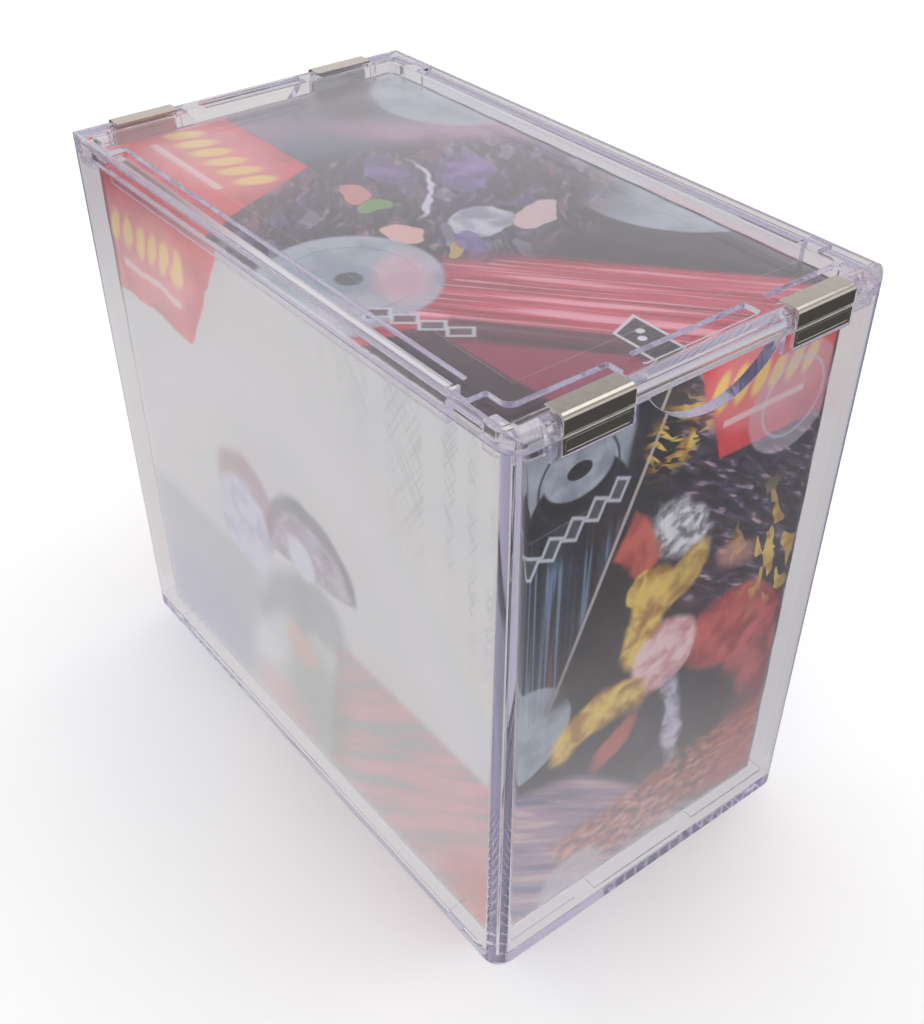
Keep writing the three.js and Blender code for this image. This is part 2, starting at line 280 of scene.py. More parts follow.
def clear_plastic():
    """Polished styrene: a faint lavender depth, slow moulding waves, fine scratches and prints.

    It is satin where the lid and the tub rub together.
    """
    material, tree, output = new_material("clear_plastic")
    place = object_place(tree)
    waves = noise(tree, place, 45.0, 1.0)
    scratch_place = add_node(
        tree, "ShaderNodeMapping", place, (0.0, 0.0, 0.0), (0.4, 0.2, 0.7), (40.0, 900.0, 900.0)
    ).outputs[0]
    scratches = noise(tree, scratch_place, 1.0, 3.0).ramp(0.62, 0.75)
    prints = noise(tree, place, 60.0, 4.0, 0.6).ramp(0.50, 0.72)
    height = Formula(tree, add_node(tree, "ShaderNodeSeparateXYZ", place).outputs[2])
    rub_start, rub_full = SEAM_RUB
    rubbed = abs(height - SEAM_HEIGHT * MM).ramp(rub_start * MM, rub_full * MM)
    roughness = prints * 0.03 + scratches * 0.05 + rubbed * 0.18 + 0.008
    surface = principled(
        tree,
        Base_Color=rgba((251, 250, 254)),
        Roughness=roughness,
        IOR=PLASTIC_INDEX,
        Transmission_Weight=1.0,
        Normal=bump(tree, waves + scratches * 0.02, 0.25, 0.05),
    )
    depth = add_node(tree, "ShaderNodeVolumeAbsorption", PLASTIC_DEPTH, PLASTIC_DENSITY)
    tint = rgba((250, 249, 253))
    tree.links.new(open_to_light(tree, surface.outputs[0], tint), output.inputs["Surface"])
    tree.links.new(depth.outputs[0], output.inputs["Volume"])
    return material


def nickel_plate():
    """Bright, slightly warm nickel with fine grain along the plates and a little mottle."""
    material, tree, output = new_material("nickel_plate")
    place = object_place(tree)
    mottle = noise(tree, place, 700.0, 3.0, 0.65)
    colour = mix_colours(tree, rgba((198, 193, 182)), rgba((219, 213, 203)), mottle)
    streak_place = add_node(
        tree, "ShaderNodeMapping", place, (0.0, 0.0, 0.0), (0.0, 0.0, 0.0), (1500.0, 60.0, 1500.0)
    ).outputs[0]
    grain = noise(tree, streak_place, 1.0, 2.0)
    surface = principled(
        tree,
        Base_Color=colour,
        Metallic=0.93,
        Roughness=grain * 0.08 + mottle * 0.08 + 0.12,
        Normal=bump(tree, grain * 0.1 + mottle * 0.1, 0.2, 0.05),
    )
    tree.links.new(surface.outputs[0], output.inputs["Surface"])
    return material


def shrink_film():
    """Thin clear film: the print shows straight through it, and it shines by Fresnel."""
    material, tree, output = new_material("clear_film")
    place = object_place(tree)
    slack_place = add_node(
        tree, "ShaderNodeMapping", place, (0.0, 0.0, 0.0), (0.3, 0.5, 0.9), (70.0, 220.0, 90.0)
    ).outputs[0]
    slack = noise(tree, slack_place, 1.0, 3.0, 0.55, 0.6)
    spot = add_node(tree, "ShaderNodeSeparateXYZ", place)
    from_line = [
        Formula(tree, spot.outputs[axis]) * way - PATCH_CORNER[axis] * way * MM
        for axis, way in ((0, 1.0), (1, -1.0))
    ]
    seam = abs(from_line[0].larger(from_line[1])).ramp(PATCH_SEAM * MM, 0.0)
    normal = bump(tree, slack + seam * 0.1, 0.35, 0.25)
    inside = Formula(tree, tree.nodes.new("ShaderNodeNewGeometry").outputs["Backfacing"])
    # The film doesn't bend light, so the index is turned over to shine alike on both faces
    index = inside.ramp(0.0, 1.0, FILM_INDEX, 1 / FILM_INDEX)
    fresnel = add_node(tree, "ShaderNodeFresnel", index, normal)
    shine = tree.nodes.new("ShaderNodeBsdfAnisotropic")
    shine.inputs["Roughness"].default_value = 0.12
    tree.links.new(normal, shine.inputs["Normal"])
    clear = add_node(tree, "ShaderNodeBsdfTransparent", FILM_TINT)
    shining = Formula(tree, fresnel.outputs[0]) + seam * 0.22
    skin = add_node(tree, "ShaderNodeMixShader", shining, clear.outputs[0], shine.outputs[0])
    tree.links.new(open_to_light(tree, skin.outputs[0], FILM_TINT), output.inputs["Surface"])
    return material


def raw_board():
    """The unprinted inside of the board, and its cut edges."""
    material, tree, output = new_material("raw_board")
    place = object_place(tree)
    fibres = noise(tree, place, 900.0, 4.0, 0.7)
    colour = mix_colours(tree, rgba((214, 210, 200)), rgba((236, 234, 228)), fibres)
    surface = principled(
        tree, Base_Color=colour, Roughness=0.8, Normal=bump(tree, fibres, 0.3, 0.05)
    )
    tree.links.new(surface.outputs[0], output.inputs["Surface"])
    return material


# ---- The carton's print ----


class Artwork:
    """One printed face, painted in layers. Places are in mm, right and down from its top left."""

    def __init__(self, name, corner, right, down, size, ground):
        self.material, self.tree, self.output = new_material(name)
        self.size = size
        from_corner = add_node(
            self.tree, "ShaderNodeVectorMath", object_place(self.tree), tuple(corner),
            operation="SUBTRACT",
        ).outputs[0]
        along = [
            add_node(
                self.tree, "ShaderNodeVectorMath", from_corner, tuple(Vector(way) / MM),
                operation="DOT_PRODUCT",
            ).outputs["Value"]
            for way in (right, down)
        ]
        self.x, self.y = (Formula(self.tree, socket) for socket in along)
        self.place = add_node(self.tree, "ShaderNodeCombineXYZ", *along).outputs[0]
        self.colour = rgba(ground)

    # Places

    def turned(self, centre, degrees, scale=(1.0, 1.0)):
        """The place seen from a frame that sits at centre, is turned, and has its own scale."""
        node = add_node(
            self.tree, "ShaderNodeMapping", self.place, (*centre, 0.0),
            (0.0, 0.0, math.radians(degrees)), (*scale, 1.0),
            vector_type="TEXTURE",
        )
        return node.outputs[0]

    def ripple(self, size, amount):
        """Bends the places that later layers use, so that their outlines look hand-drawn."""
        wander = add_node(self.tree, "ShaderNodeTexNoise")
        feed(self.tree, self.place, wander.inputs["Vector"])
        wander.inputs["Scale"].default_value = 1.0 / size
        offset = add_node(
            self.tree, "ShaderNodeVectorMath", wander.outputs["Color"], (0.5, 0.5, 0.5),
            operation="SUBTRACT",
        )
        moved = add_node(
            self.tree, "ShaderNodeVectorMath", offset.outputs[0], (amount, amount, 0.0),
            self.place, operation="MULTIPLY_ADD",
        )
        self.place = moved.outputs[0]

    # Masks, 1 inside and 0 outside

    def distance(self, x, y):
        node = add_node(
            self.tree, "ShaderNodeVectorMath", self.place, (x, y, 0.0), operation="DISTANCE"
        )
        return Formula(self.tree, node.outputs["Value"])

    def disc(self, x, y, radius, soft=0.4):
        return self.distance(x, y).ramp(radius + soft, radius - soft)

    def ring(self, x, y, radius, width, soft=0.3):
        off_line = abs(self.distance(x, y) - radius)
        return off_line.ramp(width / 2 + soft, width / 2 - soft)

    def oval(self, x, y, across, tall, degrees=0.0, soft=0.06):
        """Soft is a share of the oval's size."""
        local = self.turned((x, y), degrees, (across, tall))
        length = add_node(self.tree, "ShaderNodeVectorMath", local, operation="LENGTH")
        return Formula(self.tree, length.outputs["Value"]).ramp(1 + soft, 1 - soft)

    def bar(self, x, y, long, wide, degrees=0.0, soft=0.3):
        local = add_node(
            self.tree, "ShaderNodeSeparateXYZ", self.turned((x, y), degrees)
        )
        off_end = abs(Formula(self.tree, local.outputs[0])) - long / 2
        off_side = abs(Formula(self.tree, local.outputs[1])) - wide / 2
        return off_end.larger(off_side).ramp(soft, -soft)

    def panel(self, *corners, soft=0.4):
        """A convex outline, its corners given clockwise as seen."""
        inside = None
        for start, end in zip(corners, corners[1:] + corners[:1]):
            edge = Vector(end) - Vector(start)
            inward = Vector((-edge.y, edge.x)).normalized()
            depth = add_node(
                self.tree, "ShaderNodeVectorMath", self.place, (*inward, 0.0),
                operation="DOT_PRODUCT",
            )
            reach = Formula(self.tree, depth.outputs["Value"]) - inward.dot(Vector(start))
            inside = reach if inside is None else inside.smaller(reach)
        return inside.ramp(-soft, soft)

    # Patterns, from 0 to 1

    def streaks(self, degrees, wide, stretch, detail=3.0, shift=0.0):
        """Noise drawn out into streaks along a direction."""
        local = self.turned((shift, shift), degrees, (wide * stretch, wide))
        return noise(self.tree, local, 1.0, detail)

    def clouds(self, size, detail=3.0):
        return noise(self.tree, self.place, 1.0 / size, detail)

    def cells(self, degrees, long, wide, seed=0.0):
        """Random flat cells drawn out along a direction."""
        local = self.turned((seed, seed), degrees, (long, wide))
        node = add_node(self.tree, "ShaderNodeTexVoronoi", voronoi_dimensions="2D")
        feed(self.tree, local, node.inputs["Vector"])
        node.inputs["Scale"].default_value = 1.0
        split = add_node(self.tree, "ShaderNodeSeparateColor", node.outputs["Color"])
        return Formula(self.tree, split.outputs[0])

    def palette(self, value, *stops, flat=False):
        """A colour picked by a value: each stop is (from where, colour)."""
        node = self.tree.nodes.new("ShaderNodeValToRGB")
        ramp = node.color_ramp
        ramp.interpolation = "CONSTANT" if flat else "EASE"
        while len(ramp.elements) < len(stops):
            ramp.elements.new(0.5)
        for element, (where, colour) in zip(ramp.elements, stops):
            element.position = where
            element.color = rgba(colour)
        feed(self.tree, value, node.inputs[0])
        return node.outputs[0]

    # Painting

    def paint(self, colour, mask):
        above = rgba(colour) if isinstance(colour, tuple) else colour
        self.colour = mix_colours(self.tree, self.colour, above, mask)

    def shaded(self, size, dark, light):
        """A colour that drifts between two, like brushwork."""
        return self.palette(self.clouds(size, 4.0), (0.36, dark), (0.62, light))

    def red_label(self, corners, middle, across, tall):
        """A plain red flag with a soft arch, a row of leaning yellow strokes and a pale bar."""
        self.paint(self.shaded(9.0, (196, 26, 38), (226, 52, 56)), self.panel(*corners))
        x, y = middle
        self.paint((242, 150, 146), self.oval(x, y, across * 0.56, tall * 0.62, soft=0.3) * 0.55)
        for i in range(RED_STROKES):
            share = i / (RED_STROKES - 1) - 0.5
            place = (x + share * across * 0.84, y - tall * 0.06)
            stroke = self.oval(*place, across / 17, tall * 0.25, 24, soft=0.35)
            self.paint((248, 212, 96), stroke * 0.9)
        self.paint((240, 214, 206), self.bar(x, y + tall * 0.4, across * 0.8, tall * 0.1) * 0.7)

    def rubbed_edges(self):
        """The board shows pale where the print is rubbed along the creases."""
        across, tall = self.size
        from_edge = (
            self.x.smaller(-self.x + across).smaller(self.y).smaller(-self.y + tall)
        )
        rub = noise(self.tree, self.place, 0.8, 4.0, 0.7)
        worn = (from_edge - rub * 1.1).ramp(0.1, -0.5)
        self.paint((228, 226, 222), worn * 0.8)

    def finish(self):
        """Ties the painted colour to a varnished board surface."""
        self.rubbed_edges()
        tree = self.tree
        grain = noise(tree, self.place, 2.5, 4.0, 0.6)
        surface = principled(
            tree,
            Base_Color=self.colour,
            Roughness=grain * 0.12 + 0.32,
            Coat_Weight=0.25,
            Coat_Roughness=0.12,
            Normal=bump(tree, grain, 0.12, 0.05),
        )
        tree.links.new(surface.outputs[0], self.output.inputs["Surface"])
        return self.material


SHARDS = (
    (0.0, (20, 17, 28)), (0.2, (58, 46, 84)), (0.34, (14, 14, 18)), (0.48, (104, 82, 138)),
    (0.58, (34, 32, 44)), (0.7, (158, 146, 168)), (0.78, (62, 32, 48)), (0.9, (148, 92, 96)),
)
GLINTS = (
    (0.36, (8, 8, 11)), (0.5, (34, 31, 42)), (0.58, (78, 62, 88)), (0.66, (150, 136, 146)),
    (0.74, (214, 176, 132)),
)
PALE_DISC = ((150, 164, 172), (184, 198, 204))
# Painted sheen: the rainbow colours of the silver foil
SHEEN_BOW_COLOURS = (
    (226, 196, 202), (236, 226, 180), (196, 222, 200), (186, 200, 232), (214, 196, 228),
)


def paint_disc(art, x, y, radius, share=0.85):
    """A pale round plate with a thin inner circle and a dark eyelet."""
    art.paint(art.shaded(12.0, *PALE_DISC), art.disc(x, y, radius, soft=0.6) * share)
    art.paint((112, 126, 136), art.ring(x, y, radius * 0.72, 0.5) * 0.6 * share)
    art.paint((140, 154, 164), art.disc(x, y, radius * 0.32) * share)
    art.paint((16, 16, 20), art.disc(x, y, radius * 0.15) * share)


def paint_chain(art, start, step, tile, degrees, count, fill):
    """A chain of open diamonds, where a printed name would be."""
    for i in range(count):
        place = (start[0] + step[0] * i, start[1] + step[1] * i)
        art.paint((206, 212, 216), art.bar(*place, *tile, degrees) * 0.85)
        art.paint(fill, art.bar(*place, tile[0] - 1.3, tile[1] - 1.3, degrees) * 0.9)


def paint_top(art):
    """Red rays from the right, a dark crowd of shards in the middle, and a flag at the left."""
    left = art.panel((-2, -2), (64, -2), (34, 48), (-2, 48), soft=6.0)
    art.paint(art.shaded(14.0, (66, 56, 68), (104, 88, 102)), left)
    art.paint((190, 138, 160), art.panel((42, -4), (60, -4), (22, 48), (6, 48), soft=6.0) * 0.7)
    art.paint((52, 92, 116), art.oval(30, 38, 17, 9, -20, soft=0.7) * 0.75)
    art.paint((38, 26, 32), art.panel((84, -2), (138, -2), (138, 4), (88, 46), soft=3.0))
    art.paint(art.shaded(12.0, *PALE_DISC), art.disc(21, -6, 22, soft=1.0) * 0.8)
    paint_disc(art, 88, -10, 25, 0.8)

    rays = art.streaks(-41, 3.4, 22.0, 3.0)
    red = art.palette(
        rays, (0.30, (70, 14, 30)), (0.42, (168, 20, 44)), (0.52, (206, 52, 76)),
        (0.64, (242, 160, 168)),
    )
    art.paint(red, art.panel((84, 46), (138, 0), (138, 40), (98, 78), (84, 78), soft=1.2))
    fine = art.streaks(-41, 0.9, 60.0, 2.0, shift=5.0)
    bright_rays = art.panel((92, 42), (138, 4), (138, 36), (96, 70))
    art.paint((250, 196, 200), fine.ramp(0.56, 0.68) * bright_rays * 0.6)
    art.paint((30, 18, 26), art.panel((104, 62), (138, 33), (138, 42), (106, 70), soft=1.5) * 0.85)
    art.paint((158, 44, 76), art.panel((105, 72), (138, 41), (138, 66), (126, 67), soft=0.8) * 0.9)
    art.paint((52, 14, 28), art.panel((104, 67), (140, 66), (140, 80), (100, 80), soft=0.5) * 0.9)

    plain = art.place
    art.ripple(9.0, 7.0)
    crowd = art.oval(63, 38, 27, 41, 12, soft=0.22)
    art.paint(art.palette(art.cells(38, 6.5, 2.4), *SHARDS, flat=True), crowd)
    art.paint(art.palette(art.streaks(38, 1.6, 3.0, 4.0), *GLINTS), crowd * 0.55)
    art.paint(art.shaded(5.0, (84, 62, 122), (142, 112, 178)), art.oval(58, 23, 9, 6, 30) * 0.85)
    art.paint(art.shaded(5.0, (76, 56, 112), (126, 98, 160)), art.oval(47, 35, 8, 4, 20) * 0.85)
    art.paint((214, 204, 216), art.ring(44, 56, 28, 1.1) * art.oval(60, 35, 14, 8, 25, soft=0.3))
    art.paint(art.shaded(6.0, (150, 152, 166), (212, 212, 220)), art.oval(78, 35, 6, 7) * 0.9)
    art.paint((222, 190, 184), art.oval(82, 25, 3, 7, -25) * 0.9)
    art.paint((218, 140, 128), art.oval(53, 47, 4, 2.6, 20) * 0.9)
    art.paint((112, 158, 64), art.oval(60, 47, 2.6, 3.6, 30) * 0.9)
    art.paint((228, 178, 160), art.oval(74, 50, 5, 2.4, -10))
    art.paint((206, 166, 60), art.oval(85, 46, 4, 1.6, 35) * 0.8)
    art.paint((104, 78, 148), art.oval(83, 42, 5, 3, 30) * 0.8)
    art.place = plain

    paint_disc(art, 82, 68, 17)
    art.paint((236, 170, 176), art.oval(87, 60, 9, 5, 35, soft=0.4) * 0.5)
    paint_chain(art, (95, 71), (4.6, -2.4), (5.0, 3.4), -52, 4, (82, 24, 40))
    tile_border = art.panel((122, 37.4), (136, 37.4), (136, 44.6), (124.6, 44.6), soft=0.2)
    art.paint((214, 216, 216), tile_border)
    art.paint((20, 26, 26), art.panel((123, 38), (136, 38), (136, 44), (125, 44), soft=0.2))
    for pip in ((126.8, 40.4), (128.8, 41.8)):
        art.paint((220, 224, 222), art.disc(*pip, 0.8, soft=0.2))
    art.red_label(((-1, 47), (36, 47), (49, 77), (-1, 77)), (20, 60), 36, 17)


def paint_front(art):
    """Silver ground with fine slanted lines, pastel bows that are the foil's rainbow sheen painted in,
    a dome and a round shape in grey.
    """
    corner = art.panel((84, -2), (140, -2), (140, 70), soft=14.0)
    for degrees, band in ((56, 0.0), (-56, 0.5)):
        lines = art.streaks(degrees, 0.6, 40.0, 1.0).ramp(0.5, 0.6)
        weave = art.streaks(90, 5.0, 30.0, 0.0, shift=band).ramp(0.45, 0.55)
        art.paint((158, 161, 154), lines * weave * corner * 0.45)
    art.paint((186, 190, 186), art.clouds(30).ramp(0.4, 0.7) * 0.3)
    # Painted sheen: the foil's rainbow, as pastel bows in the print colour
    for i, colour in enumerate(SHEEN_BOW_COLOURS):
        art.paint(colour, art.ring(60, 120, 100 - 4 * i, 5.0, soft=3.5) * corner * 0.4)
    art.paint((222, 220, 232), art.ring(62, 96, 66, 10.0, soft=5.0) * 0.25)

    low = art.panel((-2, 80), (138, 80), (138, 126), (-2, 126), soft=2.5)
    low_left = low * art.panel((-2, 70), (56, 70), (40, 130), (-2, 130), soft=5.0)
    art.paint((122, 132, 142), low_left * 0.5)
    art.paint((132, 136, 190), art.oval(18, 112, 24, 12, soft=0.5) * 0.45)
    slant = art.streaks(-40, 3.4, 14.0, 2.0)
    art.paint(
        art.palette(slant, (0.38, (112, 118, 110)), (0.48, (172, 92, 98)), (0.60, (212, 104, 108))),
        art.panel((84, 79), (138, 79), (138, 126), (76, 126), soft=1.5) * 0.65,
    )
    art.paint((210, 92, 56), art.oval(134, 120, 13, 16, soft=0.5) * 0.7)

    art.ripple(12.0, 5.0)
    cap = art.panel((50, 40), (100, 40), (100, 64), (50, 70), soft=0.8)
    rim = art.disc(75, 66, 17.5, soft=1.2) * cap
    art.paint(art.shaded(7.0, (62, 66, 78), (96, 98, 108)), rim * 0.9)
    dome = art.disc(75, 69, 15.5, soft=1.5) * cap
    art.paint(art.shaded(5.0, (140, 118, 132), (178, 168, 176)), dome)
    art.paint((138, 66, 88), art.disc(50, 62, 12, soft=2.0) * 0.7)
    art.paint(art.shaded(8.0, (168, 166, 186), (204, 204, 216)), art.disc(48, 69, 11.5, soft=1.5))
    art.paint((118, 124, 136), art.oval(62, 86, 16, 9, -55, soft=0.3) * 0.75)
    art.paint((128, 136, 140), art.oval(78, 76, 11, 8, 20, soft=0.3) * 0.75)
    art.paint((206, 206, 214), art.disc(72, 65, 4.5, soft=1.2))
    art.paint((84, 116, 90), art.oval(72, 108, 13, 22, 8, soft=0.5) * 0.55)
    art.paint((226, 232, 226), art.oval(55, 100, 5, 15, 38, soft=0.5) * 0.6)
    art.paint((230, 156, 100), art.oval(68, 92, 6, 5, soft=0.5) * 0.6)
    art.paint((226, 140, 136), art.oval(58, 118, 12, 8, soft=0.5) * 0.5)
    art.red_label(((-1, -1), (53, -1), (34, 30), (-1, 30)), (18, 15), 33, 18)


def paint_end(art):
    """A slanted picture panel: pale discs and blue stripes beside dark ground and warm shapes."""
    scene = art.panel((30, -2), (80, -2), (80, 74), (20, 44), soft=2.0)
    art.paint(art.palette(art.cells(34, 5.0, 1.7, 7.0), *SHARDS, flat=True), scene * 0.5)
    art.paint(art.palette(art.streaks(34, 1.5, 4.0, 4.0), *GLINTS), scene * 0.8)
    art.paint((10, 10, 13), art.panel((30, -2), (41, -2), (27, 60), (14, 60), soft=1.0) * 0.9)
    stripes = art.streaks(90, 2.6, 60.0, 2.0)
    left = art.panel((-2, -2), (36, -2), (10, 64), (-2, 78), soft=0.3)
    blue = art.palette(
        stripes, (0.36, (10, 11, 15)), (0.46, (40, 54, 72)), (0.54, (104, 130, 152)),
        (0.60, (24, 28, 36)), (0.68, (96, 44, 48)),
    )
    art.paint(blue, left)
    art.paint((12, 12, 15), left * art.oval(15, 18, 15, 12, soft=0.2) * 0.85)
    shown = art.panel((-2, -2), (33, -2), (26, 20), (-2, 22))
    art.paint(art.shaded(9.0, (136, 146, 154), (172, 182, 188)), art.disc(14.5, 14, 13.5) * shown)
    art.paint((12, 12, 15), art.disc(14.5, 21, 11.5) * shown)
    art.paint((40, 44, 50), art.ring(14, 13, 8.6, 0.5) * shown)
    art.paint(art.shaded(5.0, (136, 146, 154), (172, 182, 188)), art.oval(14, 11.5, 7.5, 5.5))
    art.paint((10, 10, 13), art.oval(14, 11.5, 2.7, 1.7))
    art.paint((6, 6, 8), art.panel((27, -2), (37, -2), (29, 26), (23, 26), soft=1.0) * 0.95)
    paint_chain(art, (4, 27), (4.8, -1.9), (4.8, 3.6), -66, 5, (30, 34, 42))
    lower_disc = art.panel((-2, 50), (14, 56), (22, 72), (-2, 84))
    art.paint(art.shaded(8.0, *PALE_DISC), art.disc(4, 68, 12) * lower_disc * 0.7)
    border = art.panel((36.6, -2), (37.4, -2), (11, 64), (10, 64), soft=0.25)
    art.paint((198, 190, 182), border * 0.8)
    art.paint((14, 13, 16), art.panel((25, 34), (34, 44), (30, 66), (10, 64), soft=2.0) * 0.9)

    plain = art.place
    art.ripple(10.0, 6.0)
    gold = art.shaded(5.0, (170, 120, 22), (230, 200, 84))
    scarlet = art.shaded(7.0, (150, 28, 28), (206, 84, 74))
    patch = art.panel((28, 26), (38, 38), (32, 44), (22, 36), soft=0.8)
    art.paint(art.shaded(6.0, (176, 56, 44), (214, 98, 76)), patch * 0.9)
    silver = art.shaded(2.6, (120, 124, 124), (236, 238, 234))
    art.paint(silver, art.oval(41, 36, 9, 5, 44, soft=0.3) * 0.9)
    art.paint(gold, art.oval(34, 54, 5.5, 12, 12, soft=0.15))
    art.paint(gold, art.disc(33, 46, 4.5))
    art.paint(gold, art.oval(43, 48, 4, 8, 35, soft=0.2) * 0.85)
    art.paint(scarlet, art.oval(60, 70, 15, 10, 12, soft=0.12))
    art.paint(scarlet, art.oval(70, 84, 8, 14, -32, soft=0.3) * 0.8)
    rose = art.shaded(5.0, (206, 140, 136), (238, 206, 200))
    art.paint(rose, art.oval(40, 67, 8.5, 9.5, 30, soft=0.12))
    art.paint(gold, art.oval(24, 76, 13, 8, -8, soft=0.12))
    art.paint((18, 18, 26), art.oval(26, 85, 14, 8, -8, soft=0.15))
    art.paint(art.shaded(7.0, (8, 9, 14), (44, 46, 60)), art.oval(40, 94, 13, 17, 20, soft=0.3) * 0.9)
    art.paint((190, 92, 70), art.oval(29, 84, 3.2, 7, 48, soft=0.3) * 0.9)
    pearl = art.shaded(4.0, (150, 148, 160), (222, 220, 226))
    art.paint(pearl, art.oval(45, 88, 2.6, 14, -8, soft=0.4) * 0.8)
    strokes = art.streaks(25, 1.4, 4.0, 2.0, shift=9.0).ramp(0.46, 0.56)
    art.paint(gold, strokes * art.oval(37, 14, 8, 6, -10, soft=0.4))
    flecks = art.cells(70, 4.0, 1.7, 3.0).ramp(0.78, 0.8)
    art.paint(gold, flecks * art.oval(68, 54, 10, 16, -20, soft=0.4) * 0.9)
    art.paint((208, 150, 130), art.oval(57, 50, 6, 3, 30, soft=0.4) * 0.6)
    art.place = plain

    lower = art.panel((-2, 82), (20, 88), (60, 126), (-2, 126), soft=2.0)
    dusk = art.palette(
        art.streaks(-144, 3.0, 12.0, 2.0),
        (0.36, (84, 92, 124)), (0.52, (162, 134, 152)), (0.64, (204, 172, 170)),
    )
    art.paint(dusk, lower * 0.9)
    rust = art.palette(
        art.streaks(8, 2.0, 1.6, 4.0),
        (0.38, (92, 52, 46)), (0.5, (176, 78, 48)), (0.62, (212, 148, 110)),
    )
    band = art.panel((14, 106), (78, 100), (78, 120), (18, 122), soft=3.0)
    art.paint(rust, band * 0.75)
    art.paint((184, 60, 56), art.oval(74, 118, 14, 20, soft=0.5) * 0.6)
    art.paint((190, 196, 204), art.disc(20, 122, 9, soft=1.5) * 0.6)
    art.red_label(((40, -1), (77, -1), (77, 24), (48, 24)), (58, 11), 26, 14)
    art.paint((206, 196, 200), art.disc(66, 18, 11.5) * 0.42)
    art.paint((196, 206, 214), art.ring(66, 18, 8.0, 0.6) * 0.6)


def paint_underside(art):
    """Plain pale board with a block of bars, as a batch mark."""
    art.paint((176, 180, 184), art.clouds(20).ramp(0.3, 0.8) * 0.4)
    for i in range(BATCH_BARS):
        wide = 0.6 + 0.5 * (i * 5 % 3)
        art.paint((40, 40, 44), art.bar(96 + 1.9 * i, 58, wide, 12, soft=0.08))


def carton_materials():
    """The print on each outer face: the way it points, a corner of it, and its material."""
    low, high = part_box("carton")
    right, back, up = Vector((1, 0, 0)), Vector((0, 1, 0)), Vector((0, 0, 1))
    long, short, tall = (high - low) / MM
    # name and direction, then top left corner, right and down, then size, ground and painter
    faces = (
        ("print_top", up, (low.x, high.y, high.z), right, -back,
         (long, short), TOP_GROUND, paint_top),
        ("print_front", -back, (low.x, low.y, high.z), right, -up,
         (long, tall), SIDE_GROUND, paint_front),
        ("print_back", back, (high.x, high.y, high.z), -right, -up,
         (long, tall), SIDE_GROUND, paint_front),
        ("print_right", right, (high.x, low.y, high.z), back, -up,
         (short, tall), END_GROUND, paint_end),
        ("print_left", -right, (low.x, high.y, high.z), -back, -up,
         (short, tall), END_GROUND, paint_end),
        ("print_under", -up, (low.x, low.y, low.z), right, back,
         (long, short), UNDER_GROUND, paint_underside),
    )
    made = []
    for name, direction, corner, across, down, size, ground, painter in faces:
        art = Artwork(name, corner, across, down, size, ground)
        painter(art)
        made.append((direction, corner, art.finish()))
    return made


# ---- Pieces ----


def whole_faces(node):
    """The CAD node's shape as a bmesh, with its triangles merged into whole faces."""
    mesh = bmesh.new()
    mesh.from_mesh(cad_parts[node].data)
    bmesh.ops.remove_doubles(mesh, verts=mesh.verts, dist=WELD * MM)
    bmesh.ops.dissolve_limit(
        mesh, angle_limit=math.radians(FLAT_ANGLE), verts=mesh.verts, edges=mesh.edges
    )
    return mesh


def to_object(mesh, name, materials, body):
    """Turns a bmesh into a smooth-shaded piece that rides on a body."""
    data = bpy.data.meshes.new(name)
    for face in mesh.faces:
        face.smooth = True
    mesh.to_mesh(data)
    mesh.free()
    for material in materials:
        data.materials.append(material)
    piece = bpy.data.objects.new(name, data)
    bpy.context.scene.collection.objects.link(piece)
    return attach(piece, body)


def round_edges(piece, width):
    """Rounds the sharp edges, and shades the faces between them as flat."""
    bevel = piece.modifiers.new("round_edges", "BEVEL")
    bevel.width = width * MM
    bevel.segments = EDGE_SEGMENTS
    bevel.limit_method = "ANGLE"
    bevel.angle_limit = math.radians(SHARP_ANGLE)
    bevel.use_clamp_overlap = False
    bevel.miter_outer = "MITER_ARC"
    normals = piece.modifiers.new("flat_faces_stay_flat", "WEIGHTED_NORMAL")
    normals.mode = "FACE_AREA"
    normals.weight = 100
    normals.keep_sharp = True


def press_panels(mesh):
    """Sinks a shallow panel, with a thin sloping step round it, into both faces across X."""
    mesh.normal_update()
    ends = [face for face in mesh.faces if abs(face.normal.x) > FACING]
    bmesh.ops.inset_individual(mesh, faces=ends, thickness=MAGNET_BORDER * MM)
    bmesh.ops.inset_individual(mesh, faces=ends, thickness=MAGNET_STEP * MM, depth=-MAGNET_SUNK * MM)
    for edge in mesh.edges:  # the step is too flat to be rounded, so its edges are kept crisp
        edge.smooth = not 1 < math.degrees(edge.calc_face_angle(0)) < SHARP_ANGLE


def rounded_piece(node, name, materials, body, edge, detail=None):
    """A piece with the CAD node's shape and softly rounded edges, standing for that node."""
    mesh = whole_faces(node)
    if detail:
        detail(mesh)
    piece = to_object(mesh, name, materials, body)
    round_edges(piece, edge)
    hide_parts(node)


def make_case(plastic, nickel):
    rounded_piece("tub", "moulded_tub", [plastic], "case", PLASTIC_EDGE)
    rounded_piece("lid", "moulded_lid", [plastic], "lid", PLASTIC_EDGE)
    for end in ("left", "right"):
        for side in ("front", "back"):
            place = f"{end}_{side}"
            rounded_piece(
                f"magnet_{place}", f"block_magnet_{place}", [nickel], "case", MAGNET_EDGE,
                press_panels,
            )
            rounded_piece(
                f"keeper_plate_{place}", f"bent_keeper_{place}", [nickel], "lid", METAL_EDGE,
            )


def make_carton(board):
    """The folded carton: its outer faces printed, its inside and cut edges bare."""
    prints = carton_materials()
    mesh = whole_faces("carton")
    mesh.normal_update()
    for face in mesh.faces:
        for index, (direction, corner, _) in enumerate(prints, start=1):
            sunk = abs((face.calc_center_median() - Vector(corner)).dot(direction))
            if sunk < FACE_TOLERANCE * MM and face.normal.dot(direction) > FACING:
                face.material_index = index
    carton = to_object(mesh, "folded_carton", [board] + [made for _, _, made in prints], "carton")
    round_edges(carton, BOARD_EDGE)
    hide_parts("carton")


